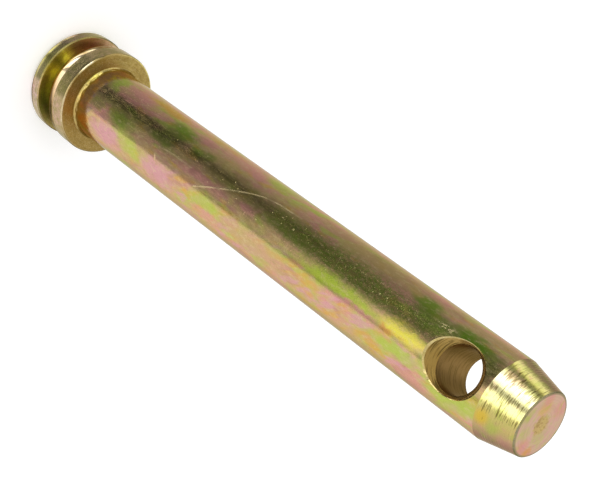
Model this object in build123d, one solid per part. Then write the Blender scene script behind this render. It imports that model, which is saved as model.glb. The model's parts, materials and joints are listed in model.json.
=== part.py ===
from build123d import *
import math
import os

# Top link pin, turned from one steel bar: a grooved head, a plain shank and a tapered nose with a
# cross hole for the keeper. It stands on the flat end of its head. Millimetres, +Z from the head to
# the nose, origin at the centre of the head's end face, cross hole along Y with its front mouth at -Y.

# Shank and nose
shank_diameter = 19.0
usable_length = 127.0        # seat to the near edge of the cross hole
hole_to_taper = 8.85         # centre of the cross hole to the start of the taper
taper_length = 9.1
nose_diameter = 15.1         # flat end of the nose, before its edge is broken
nose_edge = 0.25
root_fillet = 0.7            # between the shank and the seat

# Cross hole
hole_diameter = 10.5
sink_angle = 82.0            # included angle of both countersinks
front_sink_depth = 2.7       # from the shank's crest down to the straight bore
back_sink_depth = 3.4

# Head
head_diameter = 27.4         # flange and collar share the bar's diameter
flange_thickness = 3.7
flange_back_radius = 1.2     # rounded rim of the end face
flange_front_edge = 0.3
groove_width = 2.4
groove_diameter = 18.5       # floor of the groove
groove_corner_radius = 1.0
collar_back_diameter = 23.0  # small end of the rounded slope that leads into the groove
collar_back_length = 4.7     # its far end runs tangent into the rim
collar_rim_length = 4.0      # full diameter, with the edge beside the seat
collar_edge = 0.35

# Heights along the pin
groove_bottom = flange_thickness
groove_top = groove_bottom + groove_width
slope_top = groove_top + collar_back_length
seat = slope_top + collar_rim_length
hole_height = seat + usable_length + hole_diameter / 2
taper_start = hole_height + hole_to_taper
nose_end = taper_start + taper_length

# Radii
shank_radius = shank_diameter / 2
nose_radius = nose_diameter / 2
hole_radius = hole_diameter / 2
head_radius = head_diameter / 2
groove_radius = groove_diameter / 2
collar_back_radius = collar_back_diameter / 2


def corner_at(sketch, radius, height):
    """The sketch's corner at a radius from the pin's axis and a height."""
    return sketch.vertices().sort_by_distance(Vector(radius, height))[0]


def round_corner(sketch, radius, height, size, *walls):
    """Round one corner, by no more than its walls have room for."""
    fillet(corner_at(sketch, radius, height), min(size, *(0.98 * wall for wall in walls)))


def turned_blank():
    """The pin as it leaves the lathe, before the cross hole is drilled."""
    with BuildPart() as blank:
        with BuildSketch(Plane.XZ) as half:
            with BuildLine():
                Polyline(
                    (0, 0),
                    (head_radius, 0),
                    (head_radius, groove_bottom - flange_front_edge),
                    (head_radius - flange_front_edge, groove_bottom),
                    (groove_radius, groove_bottom),
                    (groove_radius, groove_top),
                    (collar_back_radius, groove_top),
                )
                TangentArc((head_radius, slope_top), (collar_back_radius, groove_top), tangent=(0, -1))
                Polyline(
                    (head_radius, slope_top),
                    (head_radius, seat - collar_edge),
                    (head_radius - collar_edge, seat),
                    (shank_radius, seat),
                    (shank_radius, taper_start),
                    (nose_radius, nose_end),
                    (0, nose_end),
                    (0, 0),
                )
            make_face()
            round_corner(half, head_radius, 0, flange_back_radius, flange_thickness - flange_front_edge)
            round_corner(half, groove_radius, groove_bottom, groove_corner_radius, groove_width / 2,
                         head_radius - flange_front_edge - groove_radius)
            round_corner(half, groove_radius, groove_top, groove_corner_radius, groove_width / 2,
                         collar_back_radius - groove_radius)
            round_corner(half, shank_radius, seat, root_fillet, head_radius - collar_edge - shank_radius)
            chamfer(corner_at(half, nose_radius, nose_end), nose_edge)
        revolve(axis=Axis.Z)
    return blank.part


def countersink(depth):
    """A cone that opens outwards along +Z from the straight bore, well past the shank's crest."""
    reach = 2 * depth
    mouth_radius = hole_radius + reach * math.tan(math.radians(sink_angle / 2))
    cone = Cone(hole_radius, mouth_radius, reach, align=(Align.CENTER, Align.CENTER, Align.MIN))
    return Pos(0, 0, shank_radius - depth) * cone


def cross_hole():
    """The drilled hole with a countersink at each mouth, along Y at the height of the keeper."""
    drill = Cylinder(hole_radius, 2 * shank_diameter)
    front = Rot(90, 0, 0) * countersink(front_sink_depth)
    back = Rot(-90, 0, 0) * countersink(back_sink_depth)
    return Pos(0, 0, hole_height) * (Rot(90, 0, 0) * drill + front + back)


link_pin = turned_blank() - cross_hole()

os.makedirs("parts", exist_ok=True)
export_step(link_pin, "parts/link_pin.step")
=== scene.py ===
import json
import math

import bpy
from mathutils import Matrix, Quaternion, Vector, noise


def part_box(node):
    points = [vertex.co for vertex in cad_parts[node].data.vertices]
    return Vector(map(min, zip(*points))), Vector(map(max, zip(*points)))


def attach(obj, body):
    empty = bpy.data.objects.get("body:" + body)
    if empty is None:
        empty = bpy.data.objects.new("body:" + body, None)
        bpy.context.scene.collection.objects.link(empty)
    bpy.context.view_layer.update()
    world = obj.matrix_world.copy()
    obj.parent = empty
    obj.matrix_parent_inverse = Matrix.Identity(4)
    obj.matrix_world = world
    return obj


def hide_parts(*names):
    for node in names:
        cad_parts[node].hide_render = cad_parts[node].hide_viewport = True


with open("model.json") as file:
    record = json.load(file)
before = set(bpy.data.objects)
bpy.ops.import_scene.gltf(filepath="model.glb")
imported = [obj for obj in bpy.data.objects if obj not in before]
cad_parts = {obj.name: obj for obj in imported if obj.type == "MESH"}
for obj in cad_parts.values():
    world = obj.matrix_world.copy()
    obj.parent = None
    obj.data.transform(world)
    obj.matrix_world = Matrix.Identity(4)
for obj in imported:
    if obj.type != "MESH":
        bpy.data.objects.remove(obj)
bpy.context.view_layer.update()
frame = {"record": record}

# The top link pin in yellow zinc plate, standing on its head under soft studio light.
# The pin's lengths are millimetres here and become metres when its mesh is made. The camera and
# the floor are in metres.

MM = 0.001

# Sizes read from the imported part

mounts = {mount["name"]: mount for mount in frame["record"]["mounts"]}
_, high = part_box("link_pin")
shank_radius = mounts["shank"]["dims"]["r_mm"]
hole_radius = mounts["keeper_hole"]["dims"]["r_mm"]
hole_height = mounts["keeper_hole"]["pos_m"][2] / MM
bore_middle = mounts["keeper_hole"]["pos_m"][1] / MM
bore_half = mounts["keeper_hole"]["dims"]["length_mm"] / 2
seat = mounts["seat"]["pos_m"][2] / MM
head_radius = high.x / MM
nose_end = high.z / MM

# Sizes of the turned profile that no mount states

end_rim_radius = 1.2
flange_thickness = 3.7
flange_edge = 0.3
groove_width = 2.4
groove_radius = 9.25
groove_corner = 1.0
back_radius = 11.5
back_length = 4.7
collar_edge = 0.35
root_fillet = 1.2            # across the torn curve between the shank and the seat
root_rise = 1.5              # the same along the shank
root_from = 235              # degrees on that curve where it leaves the seat, at a corner
taper_length = 9.1
nose_radius = 7.55
nose_edge = 0.25
sink_half_angle = math.radians(41)
groove_top = flange_thickness + groove_width
slope_top = groove_top + back_length
root_top = seat - root_rise * math.sin(math.radians(root_from))
taper_start = nose_end - taper_length

# Marks that the tools left in the surface

root_lumps = 0.11            # how far they stand off the curve
taper_pitch = 0.62           # one turn of the lathe's feed
taper_groove = 0.045         # depth between its crests
taper_tear = 0.02
pip_radius = 1.45            # of the mark left by parting off
pip_depth = 0.10
mouth_edge = 0.08            # width of the broken edge round the hole's mouths
mouth_tear = 0.9             # and how much wider it is torn
sink_chatter = 0.03
drill_rings = 0.045
drill_ripple = 0.018

# Camera, where the photograph was taken from

camera_place = Vector((-0.03270, -0.25976, 0.29258))
camera_aim = Vector((0.0002, 0.0, 0.0922))
camera_roll = math.radians(126.57)
camera_lens = 88.61
camera_sensor = 36.0
camera_azimuth = math.atan2(camera_place.x, -camera_place.y)

# Mesh density

SEGMENTS = 240               # round the pin
TAPER_RINGS = 130
END_RINGS = 26               # on the nose's end
SHANK_RINGS = 20             # from the seat to the patch round the hole
MOUTH_STEPS = 68             # each side of the square patch round a mouth of the hole
MOUTH_RINGS = 10             # from the patch's border to the hole's rim
SINK_RINGS = 12
BORE_RINGS = 44
mouth_half = 8.6             # half the patch's side, along the pin
head_inner_ring = 0.4        # radius of the smallest ring on the head's end
nose_inner_ring = 0.25       # and on the nose's end
sharp_angle = math.radians(28)


def azimuth_of(step):
    """Angle round the pin of a mesh column, from -Y towards +X."""
    return 2 * math.pi * step / SEGMENTS


def around(radius, azimuth, height):
    """The point at a radius, azimuth and height."""
    return (radius * math.sin(azimuth), -radius * math.cos(azimuth), height)


class Skin:
    """Points, faces and each face's finish, gathered before the mesh is made."""

    def __init__(self):
        self.points = []
        self.faces = []
        self.finishes = []

    def add(self, points):
        first = len(self.points)
        self.points.extend(points)
        return list(range(first, len(self.points)))

    def face(self, corners, finish):
        self.faces.append(corners)
        self.finishes.append(finish)

    def band(self, lower, upper, finish):
        """Quads between two closed rows of as many points, facing outwards for rows that rise."""
        count = len(lower)
        for i in range(count):
            j = (i + 1) % count
            self.face((lower[i], lower[j], upper[j], upper[i]), finish)

    def ring(self, radius, height, shape=None):
        """One ring round the pin. shape(azimuth) moves each point outwards and up."""
        made = []
        for step in range(SEGMENTS):
            azimuth = azimuth_of(step)
            out, up = shape(azimuth) if shape else (0, 0)
            made.append(around(radius + out, azimuth, height + up))
        return self.add(made)


def steps_between(start, end, count):
    """count values that go evenly from just after start to end."""
    return [start + (end - start) * (i + 1) / count for i in range(count)]


def line(start, end, count):
    """Stations on a straight stretch of the profile, without its first."""
    return list(zip(steps_between(start[0], end[0], count), steps_between(start[1], end[1], count)))


def arc(centre, radius, first_deg, last_deg, count, rise=None):
    """Stations on a round stretch of the profile, without its first. rise is its radius along
    the pin, where that is another than the one across it."""
    turned = (math.radians(angle) for angle in steps_between(first_deg, last_deg, count))
    rise = rise or radius
    return [(centre[0] + radius * math.cos(a), centre[1] + rise * math.sin(a)) for a in turned]


def head_profile():
    """Stretches of the head from the end face to the shank: (finish, stations)."""
    rim_centre = (head_radius - end_rim_radius, end_rim_radius)
    wall_corner = (groove_radius + groove_corner, flange_thickness + groove_corner)
    back_corner = (groove_radius + groove_corner, groove_top - groove_corner)
    flange_top = flange_thickness - flange_edge
    groove_mouth = (head_radius - flange_edge, flange_thickness)
    root_centre = (shank_radius + root_fillet, root_top)
    root_edge = root_centre[0] + root_fillet * math.cos(math.radians(root_from))
    collar_corner = (head_radius - collar_edge, seat - collar_edge)
    back_drop = head_radius - back_radius
    back_curve = (back_drop ** 2 + back_length ** 2) / (2 * back_drop)
    back_centre = (head_radius - back_curve, slope_top)
    back_start = -math.degrees(math.asin(back_length / back_curve))
    return [
        ("plain", line((head_inner_ring, 0), (head_radius - end_rim_radius, 0), 4)),
        ("flange", arc(rim_centre, end_rim_radius, -90, 0, 8)),
        ("flange", line((head_radius, end_rim_radius), (head_radius, flange_top), 3)),
        ("flange_edge", line((head_radius, flange_top), groove_mouth, 2)),
        ("groove", line(groove_mouth, (wall_corner[0], flange_thickness), 4)),
        ("groove", arc(wall_corner, groove_corner, 270, 180, 6)),
        ("groove", line((groove_radius, wall_corner[1]), (groove_radius, back_corner[1]), 1)),
        ("groove", arc(back_corner, groove_corner, 180, 90, 6)),
        ("groove", line((back_corner[0], groove_top), (back_radius, groove_top), 2)),
        ("back", arc(back_centre, back_curve, back_start, 0, 16)),
        ("rim", line((head_radius, slope_top), (head_radius, collar_corner[1]), 4)),
        ("rim_edge", arc(collar_corner, collar_edge, 0, 90, 6)),
        ("seat", line((collar_corner[0], seat), (root_edge, seat), 6)),
        ("root", arc(root_centre, root_fillet, root_from, 180, 10, root_rise)),
    ]


def torn_root(height, azimuth):
    """How far the torn ring between the seat and the shank stands off its curve."""
    share = (height - seat) / (root_top - seat)
    lump = noise.noise(Vector((7 * math.cos(azimuth), 7 * math.sin(azimuth), height * 1.5)))
    return root_lumps * lump * math.sin(math.pi * share)


def turning_marks(height, azimuth):
    """Depth of the coarse lathe grooves in the taper, below its true cone."""
    phase = height / taper_pitch + azimuth / (2 * math.pi)
    groove = 1 - abs(math.cos(math.pi * phase))
    swell = noise.noise(Vector((height * 1.6, math.cos(azimuth), math.sin(azimuth))))
    strength = max(0.1, 0.65 + 0.6 * swell)
    tear = noise.noise(Vector((9 * math.cos(azimuth), 9 * math.sin(azimuth), height * 4)))
    return taper_groove * groove * strength + abs(taper_tear * tear)


def taper_profile(skin, ring):
    """Turned taper, its broken edge and the flat end with the mark left by parting off."""
    for height in steps_between(taper_start, nose_end - nose_edge, TAPER_RINGS):
        share = (height - taper_start) / (nose_end - nose_edge - taper_start)
        radius = shank_radius + (nose_radius - shank_radius) * share
        fade = min(1, 12 * share, 12 * (1 - share))
        next_ring = skin.ring(radius, height, lambda a: (-fade * turning_marks(height, a), 0))
        skin.band(ring, next_ring, "taper")
        ring = next_ring
    edge_ring = skin.ring(nose_radius - nose_edge, nose_end)
    skin.band(ring, edge_ring, "nose_edge")
    ring = edge_ring
    for radius in steps_between(nose_radius - nose_edge, nose_inner_ring, END_RINGS):
        next_ring = skin.ring(radius, nose_end, lambda a: (0, -parting_mark(radius, a)))
        skin.band(ring, next_ring, "end")
        ring = next_ring
    centre = skin.add([(0, 0, nose_end - parting_mark(0, 0))])[0]
    for i in range(SEGMENTS):
        skin.face((ring[i], ring[(i + 1) % SEGMENTS], centre), "end")


def parting_mark(radius, azimuth):
    """Depth of the small torn pip in the middle of the nose's end."""
    place = Vector((radius * math.sin(azimuth), radius * math.cos(azimuth), 0))
    ragged = pip_radius + 0.5 * noise.noise(place * 1.1)
    inside = max(0.0, 1 - radius / ragged)
    return inside ** 0.6 * (pip_depth + 0.06 * noise.noise(place * 2.5)) if inside else 0.0


def mouth_point(offset, height, side):
    """A point on the shank, offset along its arc towards +X from the middle of a mouth."""
    angle = offset / shank_radius
    across = shank_radius * math.sin(angle)
    out = shank_radius * math.cos(angle)
    return (across, side * out, hole_height + height)


def rim_reach(polar, bore_end):
    """Distance along the shank's skin from the hole's axis to its rim, in one direction, found
    by halving the stretch that it lies in."""
    slope = math.tan(sink_half_angle)
    near, far = hole_radius * 0.9, mouth_half
    for _ in range(40):
        reach = (near + far) / 2
        angle = reach * math.cos(polar) / shank_radius
        rim = hole_radius + (shank_radius * math.cos(angle) - bore_end) * slope
        out = math.hypot(shank_radius * math.sin(angle), reach * math.sin(polar)) - rim
        near, far = (reach, far) if out < 0 else (near, reach)
    return reach


def edge_width(polar):
    """Width of the broken edge round a mouth, torn wider towards the head and +X."""
    torn = max(0.0, math.cos(polar + math.radians(50))) ** 6
    ragged = max(0.0, noise.noise(Vector((11 * math.cos(polar), 11 * math.sin(polar), 0))))
    return mouth_edge + mouth_tear * torn * ragged


def mouth(skin, border, side, bore_end):
    """The skin round one mouth of the hole and its countersink, down to the straight bore."""
    directions = []
    for index in border:
        x, y, z = skin.points[index]
        offset = shank_radius * math.atan2(x, side * y)
        rise = z - hole_height
        directions.append((math.hypot(offset, rise), math.atan2(rise, offset)))
    rows = [border]
    for share in steps_between(1, 0, MOUTH_RINGS):
        points = []
        for reach, polar in directions:
            rim = rim_reach(polar, bore_end) + edge_width(polar)
            length = rim + (reach - rim) * share ** 1.3
            points.append(mouth_point(length * math.cos(polar), length * math.sin(polar), side))
        rows.append(skin.add(points))
    for outer, inner in zip(rows, rows[1:]):
        skin.band(*((inner, outer) if side > 0 else (outer, inner)), "bright")

    turns = []
    rims = []
    for reach, polar in directions:
        rim = rim_reach(polar, bore_end)
        x, y, z = mouth_point(rim * math.cos(polar), rim * math.sin(polar), side)
        turns.append(math.atan2(z - hole_height, x))
        rims.append((math.hypot(x, z - hole_height), y))
    last = rows[-1]
    for number, share in enumerate(steps_between(0.06, 1, SINK_RINGS)):
        points = []
        for turn, (rim, rim_y) in zip(turns, rims):
            radius = rim + (hole_radius - rim) * share
            depth = rim_y + (side * bore_end - rim_y) * share
            chatter = noise.noise(Vector((3 * math.cos(turn), 3 * math.sin(turn), radius * 2)))
            radius += sink_chatter * chatter * math.sin(math.pi * share)
            points.append((radius * math.cos(turn), depth, hole_height + radius * math.sin(turn)))
        row = skin.add(points)
        skin.band(*((row, last) if side > 0 else (last, row)), "edge" if number == 0 else "sink")
        last = row
    return last, turns


def drill_marks(y, turn):
    """How far the drill's rings stand off the straight bore."""
    spiral = y + 0.35 * turn / (2 * math.pi)
    coarse = noise.noise(Vector((spiral * 1.3, 5, 0.4 * math.cos(turn))))
    fine = noise.noise(Vector((spiral * 5, 9, math.sin(turn))))
    return drill_rings * coarse + drill_ripple * fine


def bore(skin, front, back, front_turns, back_turns, front_y, back_y):
    """The straight bore between the countersinks, with the rings that a drill leaves."""
    last = front
    for i in range(1, BORE_RINGS + 1):
        share = i / BORE_RINGS
        if i == BORE_RINGS:
            row = back
        else:
            y = front_y + (back_y - front_y) * share
            points = []
            for a, b in zip(front_turns, back_turns):
                turn = a + (b - a) * share
                radius = hole_radius + drill_marks(y, turn) * min(1, 8 * share, 8 * (1 - share))
                points.append((radius * math.cos(turn), y, hole_height + radius * math.sin(turn)))
            row = skin.add(points)
        skin.band(last, row, "bore")
        last = row


def border_of(lower, upper, left, right):
    """The patch's border from the lower left corner, anticlockwise."""
    return lower + right[1:-1] + upper[::-1] + left[-2:0:-1]


def drilled_stretch(skin, ring):
    """The shank where the cross hole passes, with the hole in it. Gives its last ring."""
    half = MOUTH_STEPS // 2
    opposite = SEGMENTS // 2
    rows = [ring]
    for height in steps_between(hole_height - mouth_half, hole_height + mouth_half, MOUTH_STEPS):
        whole = height > hole_height + mouth_half - 1e-6
        row = [None] * SEGMENTS
        for step in range(SEGMENTS):
            away = min(step, SEGMENTS - step)
            if whole or half <= away <= opposite - half:
                row[step] = skin.add([around(shank_radius, azimuth_of(step), height)])[0]
        rows.append(row)
    for lower, upper in zip(rows, rows[1:]):
        for step in range(SEGMENTS):
            after = (step + 1) % SEGMENTS
            corners = (lower[step], lower[after], upper[after], upper[step])
            sides = [min(s, SEGMENTS - s) for s in (step, after)]
            if all(half <= away <= opposite - half for away in sides):
                skin.face(corners, "bright")

    front_columns = [step % SEGMENTS for step in range(-half, half + 1)]
    back_columns = [opposite - step for step in range(-half, half + 1)]
    ends = []
    for columns, side, bore_end in ((front_columns, -1, bore_half - bore_middle),
                                    (back_columns, 1, bore_half + bore_middle)):
        lower = [rows[0][c] for c in columns]
        upper = [rows[-1][c] for c in columns]
        left = [row[columns[0]] for row in rows]
        right = [row[columns[-1]] for row in rows]
        border = border_of(lower, upper, left, right)
        ends.append(mouth(skin, border, side, bore_end))
    (front, front_turns), (back, back_turns) = ends
    bore(skin, front, back, front_turns, back_turns,
         bore_middle - bore_half, bore_middle + bore_half)
    return rows[-1]


def pin_skin():
    """The whole pin as one closed skin."""
    skin = Skin()
    centre = skin.add([(0, 0, 0)])[0]
    ring = skin.ring(head_inner_ring, 0)
    for i in range(SEGMENTS):
        skin.face((ring[(i + 1) % SEGMENTS], ring[i], centre), "plain")
    for finish, stations in head_profile():
        for radius, height in stations:
            shape = (lambda a: (torn_root(height, a), 0)) if finish == "root" else None
            next_ring = skin.ring(radius, height, shape)
            skin.band(ring, next_ring, finish)
            ring = next_ring
    for height in steps_between(root_top, hole_height - mouth_half, SHANK_RINGS):
        next_ring = skin.ring(shank_radius, height)
        skin.band(ring, next_ring, "bright")
        ring = next_ring
    ring = drilled_stretch(skin, ring)
    next_ring = skin.ring(shank_radius, taper_start)
    skin.band(ring, next_ring, "bright")
    taper_profile(skin, next_ring)
    return skin


def shade(mesh, skin):
    """Smooth faces, sharp edges at the corners, and true round normals on the shank."""
    mesh.polygons.foreach_set("use_smooth", [True] * len(mesh.polygons))
    mesh.set_sharp_from_angle(angle=sharp_angle)
    normals = [Vector(corner.vector) for corner in mesh.corner_normals]
    tolerance = 0.002 * MM
    for polygon, finish in zip(mesh.polygons, skin.finishes):
        if finish != "bright" or polygon.center.z < root_top * MM:
            continue
        for loop in polygon.loop_indices:
            place = mesh.vertices[mesh.loops[loop].vertex_index].co
            across = Vector((place.x, place.y, 0))
            if abs(across.length - shank_radius * MM) < tolerance:
                normals[loop] = across.normalized()
    mesh.normals_split_custom_set(normals)


def make_pin(finishes):
    """The mesh object, with one material for each finish."""
    skin = pin_skin()
    mesh = bpy.data.meshes.new("link_pin_plated")
    points = [tuple(MM * value for value in point) for point in skin.points]
    mesh.from_pydata(points, [], skin.faces)
    names = list(finishes)
    for name in names:
        mesh.materials.append(finishes[name])
    mesh.polygons.foreach_set("material_index", [names.index(f) for f in skin.finishes])
    mesh.validate()
    shade(mesh, skin)
    pin = bpy.data.objects.new("link_pin_plated", mesh)
    bpy.context.scene.collection.objects.link(pin)
    return pin


# Materials


# What the metal's mirror image is tinted with at a flat angle

glancing_tint = (0.86, 0.80, 0.62, 1.0)
deep_tint = (0.80, 0.68, 0.48, 1.0)    # inside the hole and on the collar's back


class Shader:
    """A node tree, built from short calls."""

    def __init__(self, owner):
        owner.use_nodes = True
        self.owner = owner
        self.tree = owner.node_tree
        self.tree.nodes.clear()

    def node(self, kind, inputs=None, **settings):
        made = self.tree.nodes.new("ShaderNode" + kind)
        for name, value in settings.items():
            setattr(made, name, value)
        for key, value in (inputs or {}).items():
            if isinstance(value, bpy.types.NodeSocket):
                self.tree.links.new(value, made.inputs[key])
            else:
                made.inputs[key].default_value = value
        return made

    def math(self, operation, first, second=0.0, third=0.0):
        return self.node("Math", {0: first, 1: second, 2: third}, operation=operation).outputs[0]

    def vector(self, operation, first, second=(0.0, 0.0, 0.0)):
        return self.node("VectorMath", {0: first, 1: second}, operation=operation)

    def parts(self, vector):
        return self.node("SeparateXYZ", {0: vector}).outputs

    def scaled(self, vector, factor):
        return self.node("VectorMath", {0: vector, 3: factor}, operation="SCALE").outputs[0]

    def span(self, value, low, high, to_low=0.0, to_high=1.0):
        """value from low..high to to_low..to_high, eased at both ends and held beyond them."""
        return self.node("MapRange", {0: value, 1: low, 2: high, 3: to_low, 4: to_high},
                         interpolation_type="SMOOTHSTEP").outputs[0]

    def mix(self, share, first, second):
        return self.node("Mix", {0: share, 6: first, 7: second}, data_type="RGBA").outputs[2]

    def place(self):
        """The point in the pin's frame, in millimetres."""
        return self.scaled(self.node("TexCoord").outputs["Object"], 1 / MM)

    def stretched(self, place, across, along, shift=0.0):
        """The place counted in grains that are so many millimetres across and along the pin."""
        scale = (1 / across, 1 / across, 1 / along)
        grains = self.vector("MULTIPLY", place, scale).outputs[0]
        return self.vector("ADD", grains, (shift, shift, shift)).outputs[0]

    def lathe_lines(self, place, pitch, drift):
        """A place that changes fast across the lathe marks and slowly along them."""
        height = self.parts(place)[2]
        flat = self.vector("MULTIPLY", place, (1.0, 1.0, 0.0)).outputs[0]
        radius = self.vector("LENGTH", flat).outputs["Value"]
        heading = self.parts(self.vector("NORMALIZE", flat).outputs[0])
        across = self.math("DIVIDE", self.math("ADD", radius, height), pitch)
        return self.node("CombineXYZ", {0: self.math("MULTIPLY", heading[0], drift),
                                        1: self.math("MULTIPLY", heading[1], drift),
                                        2: across}).outputs[0]

    def turn_share(self, vector):
        """Azimuth from the camera's direction towards +X: 0 and 1 lie behind, 0.5 in front."""
        x, y, _ = self.parts(vector)
        azimuth = self.math("ARCTAN2", x, self.math("MULTIPLY", y, -1.0))
        turns = self.math("DIVIDE", self.math("SUBTRACT", azimuth, camera_azimuth), 2 * math.pi)
        return self.math("FRACT", self.math("ADD", turns, 0.5))

    def by_turn(self, vector, colours):
        """Colour by azimuth. colours is {degrees from the camera's direction: colour}."""
        stops = [((turn + 180) / 360, colour) for turn, colour in colours.items()]
        return self.ramp(self.turn_share(vector), stops)

    def noise(self, place, detail=2.0, roughness=0.5, distortion=0.0):
        return self.node("TexNoise", {"Vector": place, "Scale": 1.0, "Detail": detail,
                                      "Roughness": roughness, "Distortion": distortion}).outputs[0]

    def ramp(self, value, stops):
        """Colour by value. stops is (position, colour), from low to high."""
        made = self.node("ValToRGB", {0: value})
        made.color_ramp.interpolation = "LINEAR"
        elements = made.color_ramp.elements
        while len(elements) < len(stops):
            elements.new(0.5)
        for element, (position, colour) in zip(elements, stops):
            element.position = position
            element.color = colour
        return made.outputs[0]

    def bump(self, height):
        """Normal from a height in millimetres."""
        return self.node("Bump", {"Strength": 1.0, "Distance": MM, "Height": height}).outputs[0]

    def metal(self, colour, roughness, normal, glancing=glancing_tint):
        """A metal surface. glancing tints what it mirrors at a flat angle."""
        surface = self.node("BsdfPrincipled", {"Base Color": colour, "Metallic": 1.0,
                                               "Roughness": roughness, "Normal": normal,
                                               "Specular Tint": glancing})
        self.node("OutputMaterial", {0: surface.outputs[0]})
        return self.owner


def grey(level):
    return (level, level, level, 1.0)


def material_shader(name):
    return Shader(bpy.data.materials.new(name))


def srgb(red, green, blue):
    """A colour written as 0 to 255 display values."""
    def linear(value):
        value /= 255
        return value / 12.92 if value <= 0.04045 else ((value + 0.055) / 1.055) ** 2.4
    return (linear(red), linear(green), linear(blue), 1.0)


def greys(levels):
    return {turn: grey(level) for turn, level in levels.items()}


def sectors(colours):
    """Colours by degrees round from the camera's direction, written as display values."""
    return {turn: srgb(*values) for turn, values in colours.items()}


# Colours of the chromate film

tan = srgb(204, 172, 124)
straw = srgb(204, 184, 114)
gold = srgb(218, 172, 84)
orange = srgb(222, 156, 88)
yellow = srgb(238, 228, 84)
pink = srgb(222, 158, 146)
lilac = srgb(220, 160, 168)
mauve = srgb(196, 140, 128)
plum = srgb(164, 144, 152)
lime = srgb(184, 198, 88)
acid = srgb(176, 198, 62)
green = srgb(116, 150, 44)
olive = srgb(156, 152, 80)
moss = srgb(104, 104, 52)
pale = srgb(222, 202, 152)
brass = srgb(176, 150, 86)
bronze = srgb(150, 120, 62)
soot = srgb(92, 76, 36)

# Base colours of the turned faces, by degrees round from the camera's direction. Some of them hold
# painted light and shade, as marked.

# The flange's side: the darker sector round -20 is painted shade; the pinks are film colour.
flange_film_and_painted_shade = sectors({
    -80: (206, 198, 156), -56: (200, 184, 140), -44: (204, 166, 146), -30: (190, 166, 142),
    -20: (154, 138, 104), -14: (176, 166, 116), 0: (176, 168, 106), 20: (180, 166, 126),
    30: (226, 184, 176), 50: (224, 196, 190), 75: (222, 212, 198),
})
flange_edge_sectors = sectors({
    -85: (206, 188, 130), -55: (140, 120, 70), -35: (166, 146, 92), -18: (196, 184, 108),
    -8: (160, 144, 80), 10: (184, 170, 84), 32: (232, 190, 152), 55: (186, 170, 120),
    85: (176, 146, 112),
})
# The groove and the flange's wall: the bright yellow sectors at -20 and 4 to 14 are painted
# reflections of the collar's highlights, with painted shade in the gap at -7.
groove_film_and_painted_reflections = sectors({
    -90: (232, 200, 164), -60: (196, 146, 112), -34: (186, 162, 104), -20: (255, 252, 136),
    -7: (160, 156, 74), 4: (232, 224, 92), 14: (218, 210, 92), 22: (182, 176, 82),
    35: (192, 192, 84), 62: (148, 160, 70), 85: (160, 146, 84),
})
# The collar's back: the near-white sectors are painted highlights, and the dark ones at -30 and
# from 40 on are painted shade.
back_film_and_painted_highlights = sectors({
    -80: (222, 186, 150), -62: (186, 146, 104), -50: (176, 134, 84), -40: (240, 222, 184),
    -30: (164, 140, 96), -20: (250, 244, 222), -10: (226, 206, 166), 0: (244, 224, 184),
    22: (228, 190, 152), 34: (210, 168, 122), 40: (156, 130, 74), 50: (96, 82, 34),
    66: (96, 82, 36),
})
rim_sectors = sectors({
    -75: (206, 184, 150), -45: (212, 180, 136), -20: (212, 190, 142), 5: (200, 178, 126),
    18: (190, 174, 116), 30: (214, 178, 154), 55: (206, 170, 150), 75: (196, 178, 146),
})
# The collar's rounded front edge: the palest sectors, at -90, -24 to -14 and 25 to 42, are painted
# glints.
rim_edge_film_and_painted_glints = sectors({
    -90: (255, 240, 152), -65: (196, 172, 110), -42: (140, 120, 70), -31: (186, 170, 120),
    -24: (255, 250, 222), -14: (244, 232, 190), -6: (150, 134, 88), 5: (170, 150, 104),
    25: (232, 212, 168), 42: (244, 222, 184), 58: (194, 172, 130), 85: (166, 146, 106),
})
seat_sectors = sectors({
    -90: (184, 160, 92), -40: (160, 138, 76), 0: (152, 134, 74), 20: (166, 140, 76),
    50: (164, 134, 70), 90: (164, 136, 76),
})
root_sectors = sectors({
    -90: (196, 168, 108), -60: (210, 182, 110), -40: (184, 164, 90), -26: (186, 174, 86),
    -10: (164, 148, 76), 20: (190, 156, 86), 60: (210, 178, 108), 90: (176, 150, 86),
})
# The taper: the palest sectors, from -30 to 10, are film colour lightened into a painted highlight.
taper_film_and_painted_highlight = sectors({
    -75: (200, 168, 134), -60: (206, 182, 128), -50: (230, 220, 140), -40: (184, 178, 92),
    -30: (216, 210, 140), -20: (226, 222, 190), -10: (220, 212, 156), 10: (226, 222, 148),
    20: (210, 198, 118), 40: (212, 190, 118), 55: (204, 178, 124), 75: (198, 162, 136),
})

# How much soot lies in the taper's lathe marks, by degrees round

taper_soot = greys({
    -60: 0.4, -44: 0.6, -30: 0.93, -23: 0.98, -18: 0.6, -9: 0.5, -4: 0.98, 1: 0.9, 5: 0.6, 14: 0.6,
    19: 0.98, 25: 0.8, 31: 0.3, 60: 0.2,
})

# Larger blooms: height, degrees round from the camera's direction, half length, half width, colour
# and strength

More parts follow.
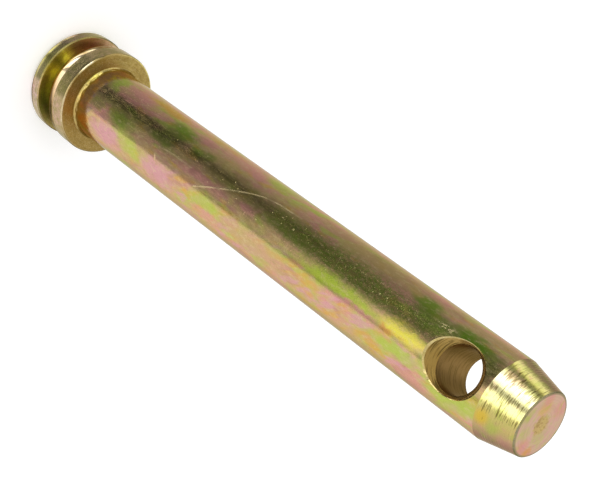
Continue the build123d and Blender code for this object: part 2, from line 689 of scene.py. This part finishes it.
blooms = [
    (17.4, -34, 2.4, 6.0, plum, 0.9),
    (17.4, 4, 2.4, 6.0, plum, 0.9),
    (18.2, 46, 3.0, 3.0, orange, 0.9),
    (20.0, -14, 2.4, 4.0, tan, 0.7),
    (21.5, -42, 2.8, 3.4, lime, 0.9),
    (22.0, 3, 3.0, 2.6, green, 0.45),
    (28.0, -3, 7.0, 2.6, olive, 0.6),
    (31, -44, 7.0, 2.6, pink, 0.9),
    (40, -58, 8.0, 2.2, gold, 1.0),
    (60, -64, 8.0, 1.6, gold, 0.6),
    (50, -32, 6.5, 2.4, green, 0.8),
    (47, -8, 5.5, 2.6, green, 0.7),
    (60, -24, 4.0, 1.6, green, 0.6),
    (32.5, 8, 5.5, 2.0, green, 0.7),
    (25.3, 9, 1.8, 1.8, pink, 0.7),
    (28, 42, 7.0, 3.6, lilac, 0.9),
    (39, 35, 5.5, 2.2, lime, 0.7),
    (50, 40, 7.0, 3.4, lilac, 0.85),
    (70, 31, 8.0, 1.7, lime, 0.8),
    (70, 50, 7.0, 1.6, pink, 0.8),
    (88, 40, 14.0, 3.4, tan, 0.7),
    (57, 6, 4.0, 1.2, pink, 0.7),
    (37, -13, 18.0, 1.9, moss, 0.5),
    (84, -16, 26.0, 2.6, olive, 0.7),
    (96, -6, 12.0, 1.6, green, 0.6),
    (118, -48, 22.0, 3.2, srgb(182, 156, 104), 0.75),
    (67, -54, 11.0, 2.6, pink, 0.8),
    (81, -64, 6.0, 3.0, lime, 0.85),
    (112, -14, 27.0, 3.2, olive, 0.8),
    (133.5, -38, 4.5, 2.4, green, 0.8),
    (137, -26, 6.5, 3.0, green, 0.75),
    (147, -31, 8.0, 2.6, green, 1.0),
    (112, 13, 16.0, 1.8, acid, 0.9),
    (134, 12, 7.5, 2.3, yellow, 0.9),
    (130, 17, 4.0, 0.9, orange, 0.8),
    (119.5, 22, 9.0, 0.9, pink, 0.9),
    (132, 36, 8.5, 1.6, lime, 0.95),
    (141.5, 26, 4.0, 1.8, lime, 0.8),
    (149, 36, 7.0, 3.2, lime, 0.95),
    (152.5, -13, 4.5, 3.0, moss, 0.85),
    (106, 34, 5.0, 1.4, gold, 0.5),
    (147, 54, 6.0, 2.2, lime, 0.8),
    (154, 42, 3.0, 3.0, lime, 0.8),
    (139, 63, 7.0, 1.8, pink, 0.6),
    (126, 50, 3.0, 1.6, gold, 0.7),
]
taper_blooms = [
    (157.4, 37, 1.8, 2.2, srgb(228, 194, 76), 0.95),
    (160.5, 46, 2.2, 2.4, lime, 0.7),
    (163, 62, 3.0, 3.0, pink, 0.7),
]

# Blooms on the nose's end: x, y, radius, colour and strength

end_blooms = [
    (-3.4, -2.0, 2.4, gold, 0.55),
    (-5.6, -3.0, 1.8, pink, 0.7),
    (-4.4, 3.2, 2.4, pink, 0.7),
    (5.8, -1.6, 2.4, pink, 0.9),
    (6.2, 1.3, 1.6, orange, 0.8),
    (-0.7, -6.6, 1.8, lime, 0.7),
    (3.1, -3.8, 2.2, lime, 0.35),
    (2.6, 2.0, 2.4, lime, 0.35),
]

# Scratches: strength, and height and degrees round at each point

scratches = [
    (0.65, [(63.5, 20.5), (67.4, 10.0), (71.4, 0.0), (75.2, -9.5), (79.0, -19.0), (82.6, -26.4),
            (87.0, -30.5), (94.0, -32.5)]),
    (0.45, [(48.0, 4.0), (53.5, 1.0), (60.0, 1.5)]),
    (0.6, [(47.7, 17.0), (48.4, 23.0)]),
]
scratch_half_width = 0.30

# Worn stretches: height, degrees round, half length and half width

rubbed = (116, -14, 36.0, 4.2)
speckled = (33, -17, 4.0, 1.2)
pitted = (92, -11, 66.0, 5.5)
scuffed = (140, -29, 3.6, 1.1)

# Patches all over the film: seed, size across and along the pin, where in the noise they begin and
# end, strength and colour

patches = [
    (0.0, 5.0, 14.0, 0.42, 0.62, 0.9, pink),
    (7.3, 3.6, 9.0, 0.48, 0.66, 0.7, straw),
    (21.7, 3.4, 9.0, 0.52, 0.68, 0.75, lime),
    (13.1, 3.0, 8.0, 0.54, 0.70, 0.6, mauve),
    (31.9, 2.4, 7.0, 0.56, 0.70, 0.6, gold),
]


def on_skin(height, turn):
    """The point on the shank at a height and so many degrees round from the camera's direction."""
    return around(shank_radius, camera_azimuth + math.radians(turn), height)


def bloom_share(made, place, height, turn, half_length, half_width):
    """How much of a bloom lies at a place: 1 in its middle, 0 outside it."""
    off = made.vector("SUBTRACT", place, on_skin(height, turn)).outputs[0]
    scale = (1 / half_width, 1 / half_width, 1 / half_length)
    far = made.vector("LENGTH", made.vector("MULTIPLY", off, scale).outputs[0]).outputs["Value"]
    return made.span(far, 1.3, 0.3)


def add_blooms(made, place, colour, rows):
    """The colour with a list of blooms laid over it."""
    for height, turn, half_length, half_width, tint, strength in rows:
        share = bloom_share(made, place, height, turn, half_length, half_width)
        colour = made.mix(made.math("MULTIPLY", share, strength), colour, tint)
    return colour


def scratch_share(made, place, start, end, half_width):
    """How much of a straight scratch lies at a place."""
    run = Vector(end) - Vector(start)
    off = made.vector("SUBTRACT", place, start).outputs[0]
    along = made.vector("DOT_PRODUCT", off, tuple(run / run.length_squared)).outputs["Value"]
    held = made.node("Clamp", {0: along}).outputs[0]
    foot = made.scaled(tuple(run), held)
    far = made.vector("LENGTH", made.vector("SUBTRACT", off, foot).outputs[0]).outputs["Value"]
    return made.span(far, half_width, 0.3 * half_width)


def film(made, place):
    """Colour of the chromate film: drawn-out patches, with the larger blooms in their places."""
    warp = made.node("TexNoise", {"Vector": made.stretched(place, 2.5, 5.0), "Scale": 1.0,
                                  "Detail": 3.0, "Roughness": 0.6}).outputs["Color"]
    shift = made.vector("MULTIPLY", made.vector("SUBTRACT", warp, (0.5, 0.5, 0.5)).outputs[0],
                        (4.0, 4.0, 9.0)).outputs[0]
    warped = made.vector("ADD", place, shift).outputs[0]
    colour = tan
    for seed, across, along, low, high, share, tint in patches:
        patch = made.noise(made.stretched(place, across, along, seed), detail=1.5, distortion=0.3)
        colour = made.mix(made.span(patch, low, high, 0.0, share), colour, tint)
    x, y, z = made.parts(place)
    leaning = made.math("MULTIPLY_ADD", z, 0.5, x)
    slanted = made.node("CombineXYZ", {0: leaning, 1: y, 2: z}).outputs[0]
    streak = made.noise(made.stretched(slanted, 2.0, 13.0, 4.0), detail=1.5)
    lit_side = made.by_turn(place, greys({12: 0.0, 26: 1.0, 62: 1.0, 84: 0.0}))
    lit_side = made.math("MULTIPLY", lit_side, made.span(z, 34, 56, 0.3, 1.0))
    for low, high, tint in ((0.53, 0.70, gold), (0.47, 0.32, lilac)):
        share = made.math("MULTIPLY", made.span(streak, low, high, 0.0, 0.7), lit_side)
        colour = made.mix(share, colour, tint)
    colour = add_blooms(made, warped, colour, blooms)
    fleck = made.noise(made.stretched(place, 0.7, 1.6), detail=3.0, roughness=0.65)
    colour = made.mix(made.span(fleck, 0.50, 0.70, 0.0, 0.35), colour, pale)
    return made.mix(made.span(fleck, 0.46, 0.26, 0.0, 0.3), colour, olive)


def wear(made, place):
    """Bright scratches, and the specks, pits and scuffs of the darker side."""
    marks = 0.0
    for strength, points in scratches:
        for start, end in zip(points, points[1:]):
            share = scratch_share(made, place, on_skin(*start), on_skin(*end), scratch_half_width)
            marks = made.math("MAXIMUM", marks, made.math("MULTIPLY", share, strength))
    broken = made.noise(made.stretched(place, 2.4, 2.4), detail=1.0)
    marks = made.math("MULTIPLY", marks, made.span(broken, 0.35, 0.55, 0.6, 1.0))
    near_head = made.math("MULTIPLY", bloom_share(made, place, *speckled), 0.6)
    speck = made.noise(made.stretched(place, 0.28, 0.4, 3.0), detail=3.0, roughness=0.75)
    specks = made.math("MULTIPLY", made.span(speck, 0.56, 0.80, 0.0, 0.55),
                       made.math("MAXIMUM", bloom_share(made, place, *rubbed), near_head))
    pit = made.noise(made.stretched(place, 0.55, 0.7, 12.0), detail=1.0)
    pits = made.math("MULTIPLY", made.span(pit, 0.68, 0.78, 0.0, 0.6),
                     bloom_share(made, place, *pitted))
    specks = made.math("MAXIMUM", specks, pits)
    scuff = bloom_share(made, place, *scuffed)
    grit = made.noise(made.stretched(place, 0.4, 1.1, 5.0), detail=2.0, roughness=0.6)
    scuffs = made.math("MULTIPLY", made.span(grit, 0.46, 0.62, 0.0, 0.7), scuff)
    return made.math("MAXIMUM", marks, made.math("MAXIMUM", specks, scuffs))


def bright_zinc():
    """Smooth plated steel under an iridescent film, with fine pits and scratches."""
    made = material_shader("zinc_bright")
    place = made.place()
    worn = wear(made, place)
    mottle = made.noise(made.stretched(place, 0.5, 0.9, 8.0), detail=3.0, roughness=0.65)
    mottled = made.math("MULTIPLY", made.span(mottle, 0.42, 0.6, 0.0, 0.6),
                        bloom_share(made, place, *rubbed))
    colour = made.mix(mottled, film(made, place), green)
    colour = made.mix(worn, colour, srgb(224, 202, 154))
    haze = made.noise(made.stretched(place, 0.5, 2.4), detail=3.0)
    roughness = made.math("MAXIMUM", made.span(haze, 0.3, 0.7, 0.10, 0.20),
                          made.math("MULTIPLY", worn, 0.45))
    grain = made.noise(made.stretched(place, 0.3, 0.5), detail=4.0, roughness=0.65)
    swell = made.noise(made.stretched(place, 3.0, 9.0), detail=1.0)
    height = made.math("MULTIPLY_ADD", grain, 0.010, made.math("MULTIPLY", swell, 0.02))
    height = made.math("MULTIPLY_ADD", worn, 0.02, height)
    return made.metal(colour, roughness, made.bump(height))


def turned_zinc(name, base, tint, roughness, depth=0.006, mottle=0.01, glancing=glancing_tint):
    """Duller plate over lathe marks that run round the pin. base is one colour, or colours by
    azimuth. depth and mottle are the heights of the marks and of the grain."""
    made = material_shader(name)
    place = made.place()
    blotch = made.noise(made.stretched(place, 1.6, 1.6), detail=4.0, roughness=0.65)
    if isinstance(base, dict):
        base = made.by_turn(place, base)
    colour = made.mix(made.span(blotch, 0.35, 0.65, 0.0, 0.6), base, tint)
    lines = made.noise(made.lathe_lines(place, 0.25, 2.0), detail=2.0)
    colour = made.mix(made.span(lines, 0.35, 0.7, 0.0, 0.25), colour, soot)
    grain = made.noise(made.stretched(place, 0.3, 0.3), detail=3.0, roughness=0.6)
    colour = made.mix(made.span(grain, 0.5, 0.7, 0.0, 0.3), colour, pale)
    colour = made.mix(made.span(grain, 0.46, 0.3, 0.0, 0.3), colour, soot)
    height = made.math("MULTIPLY_ADD", lines, depth, made.math("MULTIPLY", grain, mottle))
    return made.metal(colour, roughness, made.bump(height), glancing)


def taper_zinc():
    """Film over the coarse lathe marks of the taper, with soot left in them in ragged rows."""
    made = material_shader("zinc_taper")
    place = made.place()
    colour = made.by_turn(place, taper_film_and_painted_highlight)
    patch = made.noise(made.stretched(place, 2.2, 2.6), detail=2.0)
    colour = made.mix(made.span(patch, 0.5, 0.68, 0.0, 0.4), colour, pink)
    colour = made.mix(made.span(patch, 0.46, 0.34, 0.0, 0.4), colour, lime)
    colour = add_blooms(made, place, colour, taper_blooms)
    rows = made.by_turn(place, taper_soot)
    lines = made.noise(made.lathe_lines(place, 0.2, 3.4), detail=2.0, roughness=0.6)
    soiled = made.math("MULTIPLY_ADD", made.math("SUBTRACT", rows, 0.5), 0.3, lines)
    colour = made.mix(made.span(soiled, 0.56, 0.74, 0.0, 0.8), colour, srgb(112, 98, 44))
    height = made.math("MULTIPLY", lines, 0.03)
    return made.metal(colour, 0.14, made.bump(height))


def end_zinc():
    """The nose's flat end, pink and gold round an ochre mark in the middle."""
    made = material_shader("zinc_end")
    place = made.place()
    colour = srgb(216, 182, 158)
    warp = made.noise(made.stretched(place, 1.6, 1.6), detail=3.0)
    for x, y, half, tint, strength in end_blooms:
        off = made.vector("SUBTRACT", place, (x, y, nose_end)).outputs[0]
        far = made.math("DIVIDE", made.vector("LENGTH", off).outputs["Value"], half)
        far = made.math("ADD", far, warp)
        colour = made.mix(made.span(far, 1.8, 0.8, 0.0, strength), colour, tint)
    patch = made.noise(made.stretched(place, 1.2, 1.2, 2.0), detail=3.0, roughness=0.6)
    colour = made.mix(made.span(patch, 0.5, 0.68, 0.0, 0.45), colour, lilac)
    colour = made.mix(made.span(patch, 0.46, 0.32, 0.0, 0.4), colour, lime)
    flat = made.vector("MULTIPLY", place, (1.0, 1.0, 0.0)).outputs[0]
    radius = made.vector("LENGTH", flat).outputs["Value"]
    ragged = made.noise(made.stretched(place, 0.8, 0.8), detail=2.0)
    ragged = made.math("MULTIPLY_ADD", ragged, 1.8, radius)
    torn = made.noise(made.stretched(place, 0.45, 0.45, 6.0), detail=2.0)
    pip = made.mix(made.span(torn, 0.48, 0.62, 0.0, 0.7), srgb(204, 178, 110), srgb(158, 124, 62))
    colour = made.mix(made.span(ragged, 3.7, 2.6, 0.0, 0.85), colour, pip)
    colour = made.mix(made.span(radius, 6.8, 7.15, 0.0, 0.75), colour, srgb(140, 132, 100))
    rings = made.noise(made.lathe_lines(place, 0.4, 0.8), detail=2.0)
    colour = made.mix(made.span(rings, 0.4, 0.7, 0.0, 0.14), colour, srgb(150, 126, 92))
    return made.metal(colour, 0.4, made.bump(made.math("MULTIPLY", rings, 0.003)))


def drilled_zinc(name, near, far, tint, roughness, streaks):
    """Plate over a drill's marks. near is its colour on the head's side, far on the nose's; the two
    paint light and shade.
    """
    made = material_shader(name)
    place = made.vector("SUBTRACT", made.place(), (0.0, 0.0, hole_height)).outputs[0]
    along_hole = made.parts(place)[1]
    flat = made.vector("MULTIPLY", place, (1.0, 0.0, 1.0)).outputs[0]
    radius = made.vector("LENGTH", flat).outputs["Value"]
    heading = made.parts(made.vector("NORMALIZE", flat).outputs[0])
    deep = made.math("ADD", radius, made.math("ABSOLUTE", along_hole))
    deep = made.math("DIVIDE", deep, 0.45)
    marks = made.node("CombineXYZ", {0: made.math("MULTIPLY", heading[0], 1.2), 1: deep,
                                     2: made.math("MULTIPLY", heading[2], 1.2)}).outputs[0]
    lines = made.noise(marks, detail=3.0, roughness=0.6)
    blotch = made.noise(made.stretched(place, 1.5, 1.5), detail=3.0)
    # Painted light and shade: the wall turned towards the nose takes far, the other side near.
    towards = made.math("MULTIPLY_ADD", heading[0], -0.6, heading[2])
    colour = made.mix(made.span(towards, -1.1, 0.9), near, far)
    colour = made.mix(made.span(blotch, 0.4, 0.7, 0.0, 0.5), colour, tint)
    colour = made.mix(made.span(lines, 0.48, 0.62, 0.0, streaks), colour, soot)
    return made.metal(colour, roughness, made.bump(made.math("MULTIPLY", lines, 0.03)), deep_tint)


def all_finishes():
    """One material for each finish of the skin."""
    return {
        "bright": bright_zinc(),
        "flange": turned_zinc("zinc_flange", flange_film_and_painted_shade, olive, 0.15,
                              depth=0.003, mottle=0.004),
        "flange_edge": turned_zinc("zinc_flange_edge", flange_edge_sectors, olive, 0.2),
        "groove": turned_zinc("zinc_groove_painted_reflections", groove_film_and_painted_reflections, brass, 0.36,
                              depth=0.002, mottle=0.002),
        "back": turned_zinc("zinc_back_painted_highlights", back_film_and_painted_highlights, srgb(226, 196, 150), 0.08,
                            depth=0.001, mottle=0.001, glancing=deep_tint),
        "rim": turned_zinc("zinc_rim", rim_sectors, olive, 0.17, depth=0.004, mottle=0.006),
        "rim_edge": turned_zinc("zinc_rim_edge_painted_glints", rim_edge_film_and_painted_glints, brass, 0.16, mottle=0.03),
        "seat": turned_zinc("zinc_seat", seat_sectors, srgb(150, 122, 60), 0.36,
                            depth=0.010, mottle=0.05),
        "root": turned_zinc("zinc_root", root_sectors, straw, 0.2, depth=0.004, mottle=0.03),
        "taper": taper_zinc(),
        "nose_edge": turned_zinc("zinc_nose_edge", srgb(150, 140, 112), olive, 0.35),
        "end": end_zinc(),
        "edge": turned_zinc("zinc_edge", straw, pale, 0.25),
        # The countersink's far colour is a painted lit wall; the bore's two colours differ only a
        # little.
        "sink": drilled_zinc("zinc_sink", srgb(156, 128, 68), srgb(246, 210, 132), bronze,
                             roughness=0.34, streaks=0.9),
        "bore": drilled_zinc("zinc_bore", srgb(140, 112, 70), srgb(126, 100, 60),
                             srgb(130, 102, 60), roughness=0.3, streaks=0.6),
        "plain": turned_zinc("zinc_plain", straw, gold, 0.35),
    }


# Stage


def make_floor():
    """A pale floor that fills the picture. Metal mirrors the studio, and not the floor."""
    half = 8.0
    level = -0.00005
    corners = [(-half, -half, level), (half, -half, level),
               (half, half, level), (-half, half, level)]
    made = material_shader("floor")
    white = grey(0.96)
    surface = made.node("BsdfPrincipled", {"Base Color": white, "Roughness": 0.9,
                                           "Specular IOR Level": 0.0, "Emission Color": white,
                                           "Emission Strength": 0.20})
    made.node("OutputMaterial", {0: surface.outputs[0]})
    mesh = bpy.data.meshes.new("floor")
    mesh.from_pydata(corners, [], [(0, 1, 2, 3)])
    mesh.materials.append(made.owner)
    floor = bpy.data.objects.new("floor", mesh)
    bpy.context.scene.collection.objects.link(floor)
    floor.visible_glossy = False
    floor.visible_shadow = False


# Light, by azimuth from the camera's direction towards +X and by elevation. 1 is white.

brightest = 3.0
softboxes = {
    -180: 0.9, -157: 0.7, -142: 0.5, -127: 0.35, -112: 0.45, -98: 1.0, -82: 1.4, -73: 0.45,
    -64: 0.4, -57: 1.3, -46: 2.6, -22: 2.6, -13: 0.8, -4: 0.8, 4: 1.9, 24: 2.2, 34: 1.3, 46: 0.9,
    98: 0.8, 128: 0.55, 150: 0.5, 180: 0.9,
}
low_softboxes = {
    -180: 0.6, -127: 0.5, -106: 0.35, -99: 0.4, -93: 2.2, -70: 2.0, -62: 0.4, -54: 0.4, -48: 2.8,
    -19: 2.8, -13: 0.6, -5: 0.6, 0: 1.9, 28: 1.7, 42: 1.5, 58: 1.2, 78: 0.6, 90: 0.25, 128: 0.2,
    145: 0.35, 180: 0.6,
}
near_dark = {
    -180: 0.70, -148: 0.82, -120: 0.60, -92: 0.45, -62: 0.30, -48: 0.22, -38: 0.10, -32: 0.12,
    -20: 0.22, -14: 0.24, -6: 0.25, 8: 0.31, 22: 0.38, 36: 0.46, 44.5: 0.42, 47: 1.0, 120: 1.0,
    150: 0.72, 180: 0.70,
}
far_dark = {
    -180: 0.68, -148: 0.78, -120: 0.52, -92: 0.44, -62: 0.32, -48: 0.28, -34: 0.25, -20: 0.22,
    -8: 0.24, 2: 0.45, 10: 0.85, 20: 1.0, 34: 1.0, 43: 0.6, 45.5: 0.35, 48: 1.0, 120: 1.0,
    150: 0.70, 180: 0.68,
}
root_dark = {**near_dark, -32: 0.08, -20: 0.08, -14: 0.20}
overhead = {-180: 1.0, 180: 1.0}

# Belts of that light: lowest and highest elevation, and levels by azimuth. Between two belts the
# light goes over from one to the other.

belts = [
    (-90, -53.2, low_softboxes),
    (-52, -45, root_dark),
    (-43, -40, near_dark),
    (-33, -27, far_dark),
    (-21, 20, softboxes),
    (34, 90, overhead),
]


def make_studio():
    """Soft light all round, with the dark and bright stretches that polished metal mirrors."""
    made = Shader(bpy.data.worlds.new("studio"))
    heading = made.node("TexCoord").outputs["Generated"]
    elevation = made.math("DEGREES", made.math("ARCSINE", made.parts(heading)[2]))
    light = grey(1)
    last_top = -91           # under the lowest elevation there is
    for bottom, top, levels in belts:
        belt = made.by_turn(heading, greys({turn: levels[turn] / brightest for turn in levels}))
        light = made.mix(made.span(elevation, last_top, bottom), light, belt)
        last_top = top
    light = made.scaled(light, brightest)
    seen = made.mix(made.node("LightPath").outputs["Is Camera Ray"], light, grey(1))
    background = made.node("Background", {0: seen, 1: 1.0})
    made.node("OutputWorld", {0: background.outputs[0]})
    bpy.context.scene.world = made.owner


def make_camera():
    data = bpy.data.cameras.new("camera")
    data.lens = camera_lens
    data.sensor_width = camera_sensor
    data.sensor_fit = "HORIZONTAL"
    data.clip_start = 0.01
    data.clip_end = 100
    camera = bpy.data.objects.new("camera", data)
    bpy.context.scene.collection.objects.link(camera)
    upright = (camera_aim - camera_place).to_track_quat("-Z", "Y")
    turned = upright @ Quaternion((0, 0, 1), camera_roll)
    camera.matrix_world = Matrix.LocRotScale(camera_place, turned, None)
    bpy.context.scene.camera = camera


make_studio()
make_floor()
make_camera()
bpy.context.scene.view_settings.view_transform = "Standard"

pin = make_pin(all_finishes())
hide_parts("link_pin")
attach(pin, "root")
